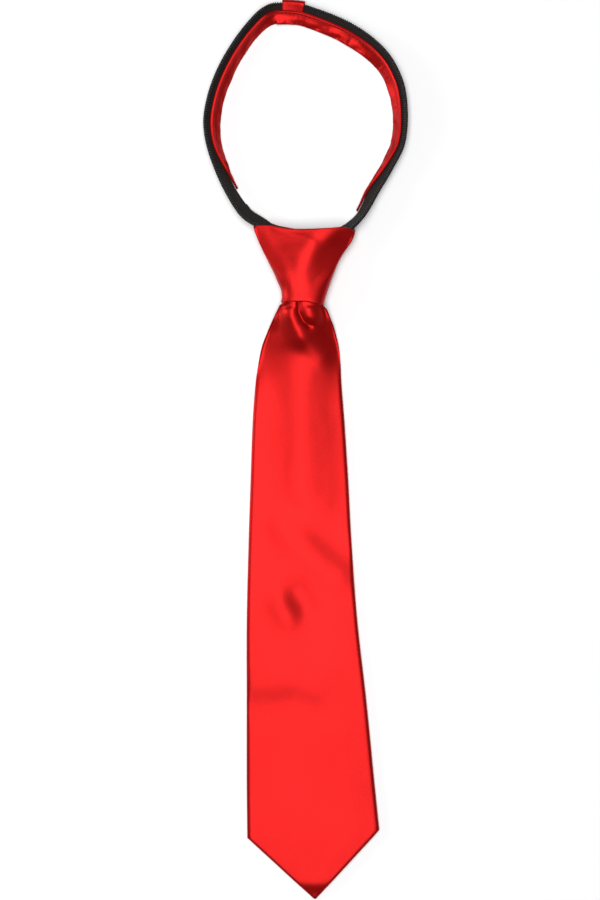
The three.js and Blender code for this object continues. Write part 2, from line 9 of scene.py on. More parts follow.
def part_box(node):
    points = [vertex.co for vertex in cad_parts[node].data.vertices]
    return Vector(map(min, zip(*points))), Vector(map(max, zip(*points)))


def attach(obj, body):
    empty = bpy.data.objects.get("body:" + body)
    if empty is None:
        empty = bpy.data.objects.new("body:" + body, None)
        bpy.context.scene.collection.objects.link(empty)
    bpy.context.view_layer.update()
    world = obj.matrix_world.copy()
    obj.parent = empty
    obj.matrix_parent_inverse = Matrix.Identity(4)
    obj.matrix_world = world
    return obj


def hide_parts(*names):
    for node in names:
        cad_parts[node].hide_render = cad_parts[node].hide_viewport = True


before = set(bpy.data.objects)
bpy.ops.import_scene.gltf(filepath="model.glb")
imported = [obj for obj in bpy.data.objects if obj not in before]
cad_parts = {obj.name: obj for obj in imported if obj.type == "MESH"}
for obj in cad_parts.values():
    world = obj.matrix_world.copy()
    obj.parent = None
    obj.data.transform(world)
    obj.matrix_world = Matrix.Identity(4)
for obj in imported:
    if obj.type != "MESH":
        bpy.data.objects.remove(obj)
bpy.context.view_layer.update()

scene = bpy.context.scene
scene.view_settings.view_transform = "Standard"  # keeps the satin's full red
random.seed(7)

# The pieces are drawn in millimetres from the middle of the knot's mouth, which lies this far
# under the slider. spot() brings a drawn point into the frame, in metres
mm = 0.001
sliderStart = 8.5
sliderLow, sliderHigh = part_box("slider")
mouthX = (sliderLow.x + sliderHigh.x) / 2
mouthY = sliderLow.y - sliderStart * mm


def spot(x, y, z):
    return Vector((mouthX + x * mm, mouthY + y * mm, z * mm))


# Camera: straight above the tie
cameraStyle = {
    "lens": 85.0,
    "metresPerPixel": 0.00053,
    "imageCentre": (300.0, 450.0),
    "tieCentre": (305.5, 449.5),  # the pixel of the frame's origin
    "focusHeight": 0.004,
}


def makeCamera(style):
    cameraData = bpy.data.cameras.new("camera")
    cameraData.lens = style["lens"]
    cameraData.clip_start = 0.05
    cameraData.clip_end = 20
    camera = bpy.data.objects.new("camera", cameraData)
    scene.collection.objects.link(camera)
    scale = style["metresPerPixel"]
    halfLong = style["imageCentre"][1] * scale
    height = halfLong * cameraData.lens / (cameraData.sensor_width / 2) + style["focusHeight"]
    offsetX = (style["imageCentre"][0] - style["tieCentre"][0]) * scale
    offsetY = (style["tieCentre"][1] - style["imageCentre"][1]) * scale
    camera.location = (offsetX, offsetY, height)
    scene.camera = camera


makeCamera(cameraStyle)
print("camera made")


# Helpers for numbers

def clamp(value, low=0.0, high=1.0):
    return min(high, max(low, value))


def mix(a, b, share):
    return a + (b - a) * share


def smooth(value):
    t = clamp(value)
    return t * t * (3 - 2 * t)


# The greater of two values, with the change from one to the other rounded
def softMax(a, b, rounding):
    return (a + b + math.hypot(a - b, rounding)) / 2


def spread(low, high, steps):
    return [mix(low, high, i / steps) for i in range(steps + 1)]


# Smooth value of one column of a table at a place between its rows
def readTable(rows, column, at):
    i = 0
    while i < len(rows) - 2 and at > rows[i + 1][0]:
        i += 1
    before, a, b, after = rows[max(0, i - 1)], rows[i], rows[i + 1], rows[min(len(rows) - 1, i + 2)]
    span = b[0] - a[0]
    t = clamp((at - a[0]) / span)
    slopeA = (b[column] - before[column]) / (b[0] - before[0]) * span
    slopeB = (after[column] - a[column]) / (after[0] - a[0]) * span
    t2, t3 = t * t, t * t * t
    return ((2 * t3 - 3 * t2 + 1) * a[column] + (t3 - 2 * t2 + t) * slopeA
            + (3 * t2 - 2 * t3) * b[column] + (t3 - t2) * slopeB)


# Height at a point beside round ridges and sharp hollows, each (width, height, line of points)
def foldHeight(folds, x, y):
    height = 0.0
    for width, rise, line in folds:
        nearest = 4.0 * width
        for (fromX, fromY), (toX, toY) in zip(line, line[1:]):
            alongX, alongY = toX - fromX, toY - fromY
            t = clamp(((x - fromX) * alongX + (y - fromY) * alongY) / (alongX ** 2 + alongY ** 2))
            nearest = min(nearest, math.hypot(x - fromX - t * alongX, y - fromY - t * alongY))
        height += rise * math.exp(-(nearest / width) ** (2 if rise > 0 or width > 5 else 1.2))
    return height


# Helpers for meshes

# A grid of cloth whose columns follow the items across and whose rows follow the items along.
# Its UV map measures the cloth in millimetres
def drape(name, across, along, spotAt, wrapAcross=False, wrapAlong=False):
    across = across + across[:1] if wrapAcross else across
    along = along + along[:1] if wrapAlong else along
    columns, rows = len(across) - 1, len(along) - 1
    middleRow, middleColumn = along[rows // 2], across[columns // 2]
    runAcross, runAlong = [0.0], [0.0]
    for a, b in zip(across, across[1:]):
        runAcross.append(runAcross[-1] + (spotAt(b, middleRow) - spotAt(a, middleRow)).length / mm)
    for a, b in zip(along, along[1:]):
        runAlong.append(runAlong[-1] + (spotAt(middleColumn, b) - spotAt(middleColumn, a)).length / mm)
    bm = bmesh.new()
    bmesh.ops.create_grid(bm, x_segments=columns, y_segments=rows, size=0.5)
    places = {v: (round((v.co.x + 0.5) * columns), round((v.co.y + 0.5) * rows)) for v in bm.verts}
    weave = bm.loops.layers.uv.new("weave")
    for face in bm.faces:
        for loop in face.loops:
            column, row = places[loop.vert]
            loop[weave].uv = (runAcross[column], runAlong[row])
    for vert, (column, row) in places.items():
        vert.co = spotAt(across[column], along[row])
        vert.co.z = max(vert.co.z, 0)
    if wrapAcross or wrapAlong:
        bmesh.ops.remove_doubles(bm, verts=bm.verts, dist=1e-7)
    return finishMesh(name, bm)


# An object at the origin with the mesh in its place, its faces turned outwards
def finishMesh(name, bm, turnOut=True, isSmooth=True):
    if turnOut:
        bmesh.ops.recalc_face_normals(bm, faces=bm.faces)
    mesh = bpy.data.meshes.new(name)
    bm.to_mesh(mesh)
    bm.free()
    for polygon in mesh.polygons:
        polygon.use_smooth = isSmooth
    piece = bpy.data.objects.new(name, mesh)
    scene.collection.objects.link(piece)
    return piece


def faceUp(piece):
    upward = sum(p.normal.z * p.area for p in piece.data.polygons if p.center.z > 2.5 * mm)
    if upward < 0:
        piece.data.flip_normals()


def thicken(piece, thickness):
    solidify = piece.modifiers.new("thickness", "SOLIDIFY")
    solidify.thickness = thickness
    solidify.offset = -1


def refine(piece, levels):
    subsurf = piece.modifiers.new("smooth", "SUBSURF")
    subsurf.levels = levels
    subsurf.render_levels = levels


# Closed outline of a flat strip with round edges
def stripOutline(start, end, low, high, steps, squareness):
    outline = []
    for i in range(steps):
        angle = 2 * math.pi * i / steps
        c, s = math.cos(angle), math.sin(angle)
        x = math.copysign(abs(c) ** (2 / squareness), c)
        y = math.copysign(abs(s) ** (2 / squareness), s)
        outline.append((mix(start, end, (x + 1) / 2), mix(low, high, (y + 1) / 2)))
    return outline


# Materials

def newMaterial(name, base, roughness, metallic=0.0):
    material = bpy.data.materials.new(name)
    material.use_nodes = True
    tree = material.node_tree
    shader = tree.nodes["Principled BSDF"]
    shader.inputs["Base Color"].default_value = (*base, 1)
    shader.inputs["Roughness"].default_value = roughness
    shader.inputs["Metallic"].default_value = metallic
    return material, tree, shader


def addNode(tree, kind, **settings):
    node = tree.nodes.new(kind)
    for key, value in settings.items():
        if hasattr(node, key):
            setattr(node, key, value)
        else:
            node.inputs[key.replace("_", " ")].default_value = value
    return node


# A mapped texture coordinate: UV (millimetres of cloth) or Object (metres)
def mappedCoordinate(tree, output, scale, turn=0.0):
    coordinate = addNode(tree, "ShaderNodeTexCoord")
    mapping = addNode(tree, "ShaderNodeMapping")
    mapping.inputs["Scale"].default_value = scale
    mapping.inputs["Rotation"].default_value = (0, 0, turn)
    tree.links.new(coordinate.outputs[output], mapping.inputs["Vector"])
    return mapping.outputs["Vector"]


def mathNode(tree, operation, first, second):
    node = addNode(tree, "ShaderNodeMath", operation=operation)
    for socket, value in zip(node.inputs, (first, second)):
        if isinstance(value, (int, float)):
            socket.default_value = value
        else:
            tree.links.new(value, socket)
    return node.outputs["Value"]


def rampColours(tree, factor, stops):
    ramp = addNode(tree, "ShaderNodeValToRGB")
    while len(ramp.color_ramp.elements) < len(stops):
        ramp.color_ramp.elements.new(0.5)
    for element, (position, colour) in zip(ramp.color_ramp.elements, stops):
        element.position = position
        element.color = (*colour, 1)
    tree.links.new(factor, ramp.inputs["Fac"])
    return ramp.outputs["Color"]


def addBump(tree, shader, height, strength, distance):
    bump = addNode(tree, "ShaderNodeBump", Strength=strength, Distance=distance)
    tree.links.new(height, bump.inputs["Height"])
    tree.links.new(bump.outputs["Normal"], shader.inputs["Normal"])


satinStyle = {
    "bright": (0.455, 0.0050, 0.0050),
    "deep": (0.345, 0.0022, 0.0018),
    "roughness": 0.40,
    "metallic": 0.72,
    "specular": 0.26,
    "anisotropy": 0.35,
    "threadTurn": math.radians(63),
}


def makeSatin(name, style):
    material, tree, shader = newMaterial(name, style["bright"], style["roughness"], style["metallic"])
    shader.inputs["Anisotropic"].default_value = style["anisotropy"]
    shader.inputs["Specular IOR Level"].default_value = style["specular"]
    shader.inputs["Sheen Weight"].default_value = 0.03
    shader.inputs["Sheen Roughness"].default_value = 0.4
    shader.inputs["Sheen Tint"].default_value = (1, 0.35, 0.3, 1)
    tangent = addNode(tree, "ShaderNodeTangent", direction_type="UV_MAP", uv_map="weave")
    tree.links.new(tangent.outputs["Tangent"], shader.inputs["Tangent"])
    threads = addNode(tree, "ShaderNodeTexWave", wave_type="BANDS", bands_direction="X",
                      wave_profile="SIN", Scale=1.0, Distortion=0.6, Detail=1.0)
    turned = mappedCoordinate(tree, "UV", (1.0, 1.0, 1.0), style["threadTurn"])
    tree.links.new(turned, threads.inputs["Vector"])
    slubs = addNode(tree, "ShaderNodeTexNoise", Scale=1.0, Detail=3.0, Roughness=0.6)
    tree.links.new(mappedCoordinate(tree, "UV", (3.4, 0.8, 1.0)), slubs.inputs["Vector"])
    grain = addNode(tree, "ShaderNodeTexNoise", Scale=1.3, Detail=4.0, Roughness=0.7)
    tree.links.new(mappedCoordinate(tree, "UV", (1.0, 1.0, 1.0)), grain.inputs["Vector"])
    broad = addNode(tree, "ShaderNodeTexNoise", Scale=9.0, Detail=2.0)
    tree.links.new(mappedCoordinate(tree, "Object", (1.0, 1.0, 1.0)), broad.inputs["Vector"])
    tone = mathNode(tree, "ADD", mathNode(tree, "MULTIPLY", grain.outputs["Fac"], 0.55),
                    mathNode(tree, "MULTIPLY", broad.outputs["Fac"], 0.45))
    colour = rampColours(tree, tone, ((0.38, style["deep"]), (0.62, style["bright"])))
    tree.links.new(colour, shader.inputs["Base Color"])
    rough = mathNode(tree, "MULTIPLY_ADD", slubs.outputs["Fac"], 0.16)
    rough.node.inputs[2].default_value = style["roughness"] - 0.08
    tree.links.new(rough, shader.inputs["Roughness"])
    height = mathNode(tree, "ADD", mathNode(tree, "MULTIPLY", threads.outputs["Fac"], 0.35),
                      mathNode(tree, "MULTIPLY", slubs.outputs["Fac"], 0.65))
    addBump(tree, shader, height, 0.12, 0.00012)
    return material


tapeStyle = {
    "dark": (0.009, 0.0070, 0.0072),
    "light": (0.032, 0.024, 0.023),
    "roughness": 0.78,
}


def makeTapeWeave(style):
    material, tree, shader = newMaterial("blackTapeWeave", style["dark"], style["roughness"])
    shader.inputs["Specular IOR Level"].default_value = 0.12
    shader.inputs["Sheen Weight"].default_value = 0.04
    shader.inputs["Sheen Roughness"].default_value = 0.5
    ribs = addNode(tree, "ShaderNodeTexWave", wave_type="BANDS", bands_direction="X",
                   Scale=0.62, Distortion=0.4, Detail=1.0)
    tree.links.new(mappedCoordinate(tree, "UV", (1.0, 1.0, 1.0)), ribs.inputs["Vector"])
    picks = addNode(tree, "ShaderNodeTexWave", wave_type="BANDS", bands_direction="Y",
                    Scale=0.8, Distortion=0.4, Detail=1.0)
    tree.links.new(mappedCoordinate(tree, "UV", (1.0, 1.0, 1.0), math.radians(12)), picks.inputs["Vector"])
    mottle = addNode(tree, "ShaderNodeTexNoise", Scale=0.9, Detail=4.0, Roughness=0.65)
    tree.links.new(mappedCoordinate(tree, "UV", (1.0, 1.0, 1.0)), mottle.inputs["Vector"])
    weave = mathNode(tree, "MULTIPLY", ribs.outputs["Fac"], picks.outputs["Fac"])
    tone = mathNode(tree, "ADD", mathNode(tree, "MULTIPLY", weave, 0.4),
                    mathNode(tree, "MULTIPLY", mottle.outputs["Fac"], 0.6))
    colour = rampColours(tree, tone, ((0.25, style["dark"]), (0.75, style["light"])))
    tree.links.new(colour, shader.inputs["Base Color"])
    addBump(tree, shader, weave, 0.5, 0.00015)
    return material


nylonStyle = {
    "dark": (0.010, 0.010, 0.011),
    "worn": (0.030, 0.028, 0.028),
    "roughness": 0.34,
}


def makeNylon(style):
    material, tree, shader = newMaterial("blackCoilNylon", style["dark"], style["roughness"])
    scuffs = addNode(tree, "ShaderNodeTexNoise", Scale=420.0, Detail=3.0)
    tree.links.new(mappedCoordinate(tree, "Object", (1.0, 1.0, 1.0)), scuffs.inputs["Vector"])
    colour = rampColours(tree, scuffs.outputs["Fac"], ((0.4, style["dark"]), (0.7, style["worn"])))
    tree.links.new(colour, shader.inputs["Base Color"])
    addBump(tree, shader, scuffs.outputs["Fac"], 0.15, 0.0001)
    return material


enamelStyle = {
    "paint": (0.014, 0.014, 0.016),
    "bare": (0.32, 0.31, 0.30),
    "roughness": 0.30,
}


def makeEnamel(style):
    material, tree, shader = newMaterial("blackEnamel", style["paint"], style["roughness"], 0.6)
    specks = addNode(tree, "ShaderNodeTexNoise", Scale=900.0, Detail=3.0)
    tree.links.new(mappedCoordinate(tree, "Object", (1.0, 1.0, 1.0)), specks.inputs["Vector"])
    colour = rampColours(tree, specks.outputs["Fac"], ((0.62, style["paint"]), (0.80, style["bare"])))
    tree.links.new(colour, shader.inputs["Base Color"])
    addBump(tree, shader, specks.outputs["Fac"], 0.10, 0.0001)
    return material


redSatin = makeSatin("redSatin", satinStyle)
blackWeave = makeTapeWeave(tapeStyle)
blackNylon = makeNylon(nylonStyle)
blackEnamel = makeEnamel(enamelStyle)
print("materials made")


def dress(piece, material, slot, *nodes):
    piece.data.materials.append(material)
    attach(piece, "root")
    if nodes:
        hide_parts(*nodes)


# Route of the zipper: the tape's coil edge from the centre back round the neck loop, down inside
# the knot and on to the end of the tail. Loop rows are shares of the loop across and up, with the
# turn in degrees: 0 lies flat with the free edge inwards, 90 stands on that edge
zipperStyle = {
    "loopWidth": 108, "loopHeight": 121.4, "liftRun": 20,
    "tapeWidth": 9, "tapeThickness": 1,
    "coilWidth": 1.8, "coilHeight": 1.5, "coilOverhang": 0.8,
    "tailLength": 100, "tailRunOut": 30, "tailDroop": 13, "stopLength": 2.6,
    "clearance": 0.32, "seamGap": 0.2,
    "centreBack": (-0.044, 0.993, 24),
    "left": [
        (-0.108, 0.996, 18), (-0.158, 0.990, 24), (-0.206, 0.963, 42), (-0.278, 0.893, 54),
        (-0.362, 0.789, 53), (-0.425, 0.684, 50), (-0.465, 0.581, 50), (-0.484, 0.476, 48),
        (-0.469, 0.371, 54), (-0.430, 0.266, 51), (-0.376, 0.162, 51), (-0.298, 0.056, 44),
    ],
    "right": [
        (0.006, 0.986, 29), (0.070, 0.968, 28), (0.162, 0.938, 24), (0.248, 0.902, 21),
        (0.358, 0.832, 33), (0.430, 0.760, 44), (0.474, 0.688, 50), (0.501, 0.617, 52),
        (0.513, 0.493, 58), (0.498, 0.371, 59), (0.441, 0.266, 58), (0.372, 0.162, 54),
        (0.303, 0.057, 62),
    ],
    # spread, place up the knot, turn, share of the slider's level
    "insideKnot": [
        (1.00, 1.000, 46, 0), (0.73, 0.865, 42, 0), (0.47, 0.730, 62, 0), (0.25, 0.598, 124, 0.5),
        (0.10, 0.465, 165, 1), (0.03, 0.360, 180, 1), (0.00, 0.240, 188, 1), (0.00, 0.106, 190, 0),
        (0.00, -0.070, 190, 0),
    ],
    "steps": 12,
}

knotStyle = {
    "height": 37.6, "width": 53, "thickness": 14.6,
    "mouthWidth": 22.8, "mouthThickness": 13.4, "wall": 1.2,
    "mouthDrop": 1.6, "rearRise": 4.4,
    "frontSquareness": 2.6, "rearSquareness": 9,
    # place up the knot, x of the front's crest, fall beside it to the left and to the right
    "crest": [(0.0, -0.7, 0.0, 0.0), (0.16, -0.7, 0.06, 0.10), (0.45, 0.2, 0.30, 0.35),
              (0.73, 4.5, 0.28, 0.44), (0.92, 11.0, 0.20, 0.46), (1.0, 15.0, 0.155, 0.46)],
    "crestRadius": 4.8, "frontFullness": 1.08,
    # height of the front and the rear rim: x, up
    "frontRim": [(-24.6, 39.3), (-17.7, 39.2), (-8.7, 37.6), (-0.7, 37.1), (14.1, 37.5), (21.0, 38.1),
                 (27.3, 36.9)],
    "rearRim": [(-23.5, 44.2), (-19.3, 42.5), (-14.5, 40.6), (-8.7, 39.0), (-1.3, 37.7), (9.3, 37.3),
                (17.8, 37.6), (22.6, 38.8), (25.5, 40.4)],
    "cornerNotch": 2.2,
    # place up the knot, then how far left and right stand out from the mouth to the full width
    "plan": [
        (0.000, 0.000, 0.000), (0.060, -0.030, 0.035), (0.170, 0.010, 0.140), (0.282, 0.130, 0.245),
        (0.394, 0.245, 0.351), (0.507, 0.384, 0.457), (0.620, 0.523, 0.596), (0.732, 0.669, 0.775),
        (0.845, 0.808, 0.947), (0.940, 0.910, 1.040), (1.000, 0.960, 1.090),
    ],
    # ridges and hollows of the front: width, height, and points x, up, in millimetres
    "folds": [
        (5.0, 0.25, [(-0.7, 0.0), (-0.7, 8.0), (0.2, 17.0), (4.5, 27.0)]),
        (1.4, -0.12, [(-15.0, 23.5), (-6.5, 22.5)]),
        (1.4, -0.12, [(6.0, 11.0), (10.5, 14.5)]),
        (3.0, 0.25, [(-20.0, 33.0), (-11.0, 20.0), (-6.0, 9.0)]),
        (2.0, 0.28, [(-14.0, 37.0), (0.0, 33.5), (6.0, 31.0)]),
    ],
    "sides": 144, "outerRows": 64, "innerRows": 24,
}

sliderStyle = {
    "length": 8.5, "width": 7.4, "plate": 0.9, "hollow": 3.9,
    "bridgeLength": 2.4, "bridgeWidth": 1.4, "bevel": 0.35,
}

mouthHalf = knotStyle["mouthWidth"] / 2
knotHalf = knotStyle["width"] / 2
clearance = zipperStyle["clearance"]
neckHalf = mouthHalf - knotStyle["wall"] - 2 * clearance
coilBase = zipperStyle["tapeThickness"] / 2 + clearance
passageFloor = knotStyle["wall"] + clearance
sliderFloor = passageFloor + sliderStyle["plate"] + clearance
mouthCup = 10
cornerRoom = {-1: 2.5, 1: 0.6}
cornerTurn = {-1: -2, 1: 12}

facingStyle = {
    "start": 4.5, "width": 6.7, "thickness": 1.2,
    "endDistance": 128, "taper": 27, "tipWidth": 1.6,
    # the seen strip's ends: the right one runs on as a thin edge to the knot
    "leftEnd": 127, "leftTaper": 34, "rightEnd": 152, "rightTaper": 52, "thinTip": 0.4, "overlap": 0.9,
    "ridgeAt": 0.9, "ridgeHeight": 0.60, "grooveDepth": 0.50,
    "puckerHeight": 0.75, "puckerRun": 7.0, "leftShare": 0.55,
}
facingEnd = facingStyle["start"] + facingStyle["width"]


def facingSpan(distance, endDistance, taper, tip=facingStyle["tipWidth"]):
    style = facingStyle
    thin = smooth((distance - (endDistance - taper)) / taper)
    tapeWidth = zipperStyle["tapeWidth"]
    return mix(style["start"], tapeWidth - tip, thin), mix(facingEnd, tapeWidth, thin)


def coilCorners():
    style = zipperStyle
    low, width, height = -style["coilOverhang"], style["coilWidth"], style["coilHeight"]
    return [
        (low, coilBase + height * 0.3), (low, coilBase + height * 0.7),
        (low + width * 0.35, coilBase + height), (low + width, coilBase + height * 0.75),
        (low + width, coilBase), (low + width * 0.35, coilBase),
    ]


def sectionDepth(turn, distance):
    half = zipperStyle["tapeThickness"] / 2
    corners = [(0, -half), (0, half), (zipperStyle["tapeWidth"], -half), (zipperStyle["tapeWidth"], half)]
    corners += coilCorners()
    if distance < facingStyle["endDistance"]:
        start, end = facingSpan(distance, facingStyle["endDistance"], facingStyle["taper"])
        roll = min(0.35, (end - start) / 4)
        middle, top = coilBase + facingStyle["thickness"] / 2, coilBase + facingStyle["thickness"]
        corners += [(start, middle), (start + roll, top), (end - roll, top), (end, middle),
                    (end - roll, coilBase), (start + roll, coilBase)]
    return max(c[0] * math.sin(turn) - c[1] * math.cos(turn) for c in corners)


def coilReach(degrees):
    turn = math.radians(degrees)
    return max(c[0] * math.cos(turn) + c[1] * math.sin(turn) for c in coilCorners())


# A point of a smooth curve through the stations. Its bends follow the stations' spacing where
# isCentripetal, and are even otherwise
def curvePoint(stations, t, isCentripetal):
    last = len(stations) - 1
    i = min(int(t * last), last - 1)
    w = t * last - i
    p1, p2 = stations[i], stations[i + 1]
    p0 = stations[i - 1] if i > 0 else 2 * p1 - p2
    p3 = stations[i + 2] if i + 2 <= last else 2 * p2 - p1
    if isCentripetal:
        d0, d1, d2 = ((b - a).length ** 0.5 for a, b in ((p0, p1), (p1, p2), (p2, p3)))
        m1 = ((p1 - p0) / d0 - (p2 - p0) / (d0 + d1) + (p2 - p1) / d1) * d1
        m2 = ((p2 - p1) / d1 - (p3 - p1) / (d1 + d2) + (p3 - p2) / d2) * d1
    else:
        m1, m2 = (p2 - p0) / 2, (p3 - p1) / 2
    return (p1 + m1 * w + (3 * (p2 - p1) - 2 * m1 - m2) * w ** 2
            + (2 * (p1 - p2) + m1 + m2) * w ** 3)


# Frames of one tape: the place of its coil edge, the way to the loop's inside, the turn and the
# distance from the centre back
def zipperFrames(side, rows, otherRows):
    style = zipperStyle
    knotHeight = knotStyle["height"]
    topSpread = readTable(knotStyle["plan"], 1 if side < 0 else 2, 1.0)
    cornerX = mouthHalf + (knotHalf - mouthHalf) * topSpread - knotStyle["wall"] - cornerRoom[side]
    liftFrom = knotHeight + knotStyle["rearRise"] + clearance
    stations = []
    for across, up, turn in [otherRows[0], style["centreBack"]] + rows:
        y = knotHeight + up * style["loopHeight"]
        lift = passageFloor * (1 - smooth((y - liftFrom) / style["liftRun"]))
        stations.append((across * style["loopWidth"], y, turn, lift))
    for share, up, turn, atSlider in style["insideKnot"]:
        closedX = style["seamGap"] + coilReach(max(180, turn))
        stations.append((side * mix(closedX, cornerX, share), up * knotHeight, turn + cornerTurn[side] * share,
                         mix(passageFloor, sliderFloor, atSlider)))
    runOut, droop, tail = style["tailRunOut"], style["tailDroop"], style["tailLength"]
    for y, turn, lift in (
        (-runOut * 0.27, 180 + mouthCup * 0.4, passageFloor * 0.5),
        (-runOut * 0.55, 180 - droop * 0.3, passageFloor * 0.1),
        (-runOut, 180 - droop, 0),
        (-(tail + runOut) / 2, 180 - droop, 0),
        (-tail, 180 - droop, 0),
    ):
        stations.append((side * (style["seamGap"] + coilReach(turn)), y, turn, lift))
    path = [Vector((s[0], s[1], 0)) for s in stations]
    poses = [Vector((math.radians(s[2]), s[3], 0)) for s in stations]
    count = (len(stations) - 1) * style["steps"]
    frames = []
    distance = 0.0
    before = None
    for step in range(style["steps"], count + 1):
        at = curvePoint(path, step / count, True)
        ahead = curvePoint(path, min(1, step / count + 1e-4), True)
        behind = curvePoint(path, step / count - 1e-4, True)
        tangent = (ahead - behind).normalized()
        pose = curvePoint(poses, step / count, False)
        if before is not None:
            distance += (at - before).length
        before = at.copy()
        inward = Vector((-tangent.y, tangent.x, 0)) * -side
        at.z = max(0, pose.y) + sectionDepth(pose.x, distance)
        frames.append((distance, at, inward, pose.x, tangent))
    return frames


def frameAt(frames, distance):
    i = 0
    while i < len(frames) - 2 and frames[i + 1][0] < distance:
        i += 1
    a, b = frames[i], frames[i + 1]
    t = (distance - a[0]) / (b[0] - a[0])
    return (distance, a[1].lerp(b[1], t), a[2].lerp(b[2], t).normalized(), mix(a[3], b[3], t),
            a[4].lerp(b[4], t).normalized())


def placeOn(tapeFrame, inwards, out):
    distance, at, inward, turn, tangent = tapeFrame
    across = inwards * math.cos(turn) + out * math.sin(turn)
    height = out * math.cos(turn) - inwards * math.sin(turn)
    return spot(at.x + inward.x * across, at.y + inward.y * across, at.z + height)


routes = {
    "left": zipperFrames(-1, zipperStyle["left"], zipperStyle["right"]),
    "right": zipperFrames(1, zipperStyle["right"], zipperStyle["left"]),
}


# A frame at a signed distance round the loop: left of the centre back is minus
def loopFrame(signedDistance):
    return frameAt(routes["left" if signedDistance < 0 else "right"], abs(signedDistance))


# Tapes

def tapeSpot(frames):
    def spotAt(corner, distance):
        tapeFrame = frameAt(frames, distance)
        wave = 0.06 * noise.noise(Vector((distance * 0.12, corner[0] * 0.2, 3.0)))
        return placeOn(tapeFrame, corner[0], corner[1] + wave)
    return spotAt


tapeOutline = stripOutline(0, zipperStyle["tapeWidth"], -0.5, 0.5, 28, 7)
for side, frames in routes.items():
    end = frames[-1][0]
    distances = spread(zipperStyle["seamGap"], end, 260)
    tape = drape("tape_" + side + "_weave", tapeOutline, distances, tapeSpot(frames), wrapAcross=True)
    bm = bmesh.new()
    bm.from_mesh(tape.data)
    bmesh.ops.holes_fill(bm, edges=[e for e in bm.edges if e.is_boundary])
    bm.to_mesh(tape.data)
    bm.free()
    dress(tape, blackWeave, "zipper_tape", "tape_" + side)
print("tapes made")


# Coils: one bent loop of nylon for each tooth
coilStyle = {"pitch": 1.25, "wire": 0.30, "ringSteps": 10, "wireSides": 5, "lean": 0.28}


def makeCoil(name, frames, start, end, offset):
    style = coilStyle
    bm = bmesh.new()
    low, width = -zipperStyle["coilOverhang"], zipperStyle["coilWidth"]
    height = zipperStyle["coilHeight"]
    seat = zipperStyle["tapeThickness"] / 2 - 0.05
    centreIn, centreOut = low + width / 2, seat + height / 2
    halfIn, halfOut = width / 2 - style["wire"], height / 2 - style["wire"]
    distance = start + style["pitch"] * (0.5 + offset)
    while distance < end - style["pitch"] / 2:
        tapeFrame = frameAt(frames, distance)
        corner = placeOn(tapeFrame, centreIn, centreOut)
        inAxis = (placeOn(tapeFrame, centreIn + 1, centreOut) - corner).normalized()
        outAxis = (placeOn(tapeFrame, centreIn, centreOut + 1) - corner).normalized()
        alongAxis = inAxis.cross(outAxis)
        leaned = (alongAxis + inAxis * style["lean"]).normalized()
        matrix = Matrix((
            (inAxis.x * halfIn * mm, outAxis.x * halfOut * mm, leaned.x * mm, corner.x),
            (inAxis.y * halfIn * mm, outAxis.y * halfOut * mm, leaned.y * mm, corner.y),
            (inAxis.z * halfIn * mm, outAxis.z * halfOut * mm, leaned.z * mm, corner.z),
            (0, 0, 0, 1),
        ))
        wire = bmesh.ops.create_circle(bm, segments=style["wireSides"], radius=style["wire"])["verts"]
        bmesh.ops.rotate(bm, verts=wire, matrix=Matrix.Rotation(math.pi / 2, 3, "X"))
        bmesh.ops.translate(bm, verts=wire, vec=(1.0, 0, 0))
        ring = bmesh.ops.spin(bm, geom=wire + list({e for v in wire for e in v.link_edges}),
                              axis=(0, 0, 1), cent=(0, 0, 0), angle=2 * math.pi,
                              steps=style["ringSteps"], use_merge=True)
        made = {v for e in ring["geom_last"] for v in (e.verts if hasattr(e, "verts") else [e])}
        grown = set(made)
        while made:
            made = {e.other_vert(v) for v in made for e in v.link_edges} - grown
            grown |= made
        bmesh.ops.transform(bm, matrix=matrix, verts=list(grown))
        distance += style["pitch"]
    return finishMesh(name, bm)


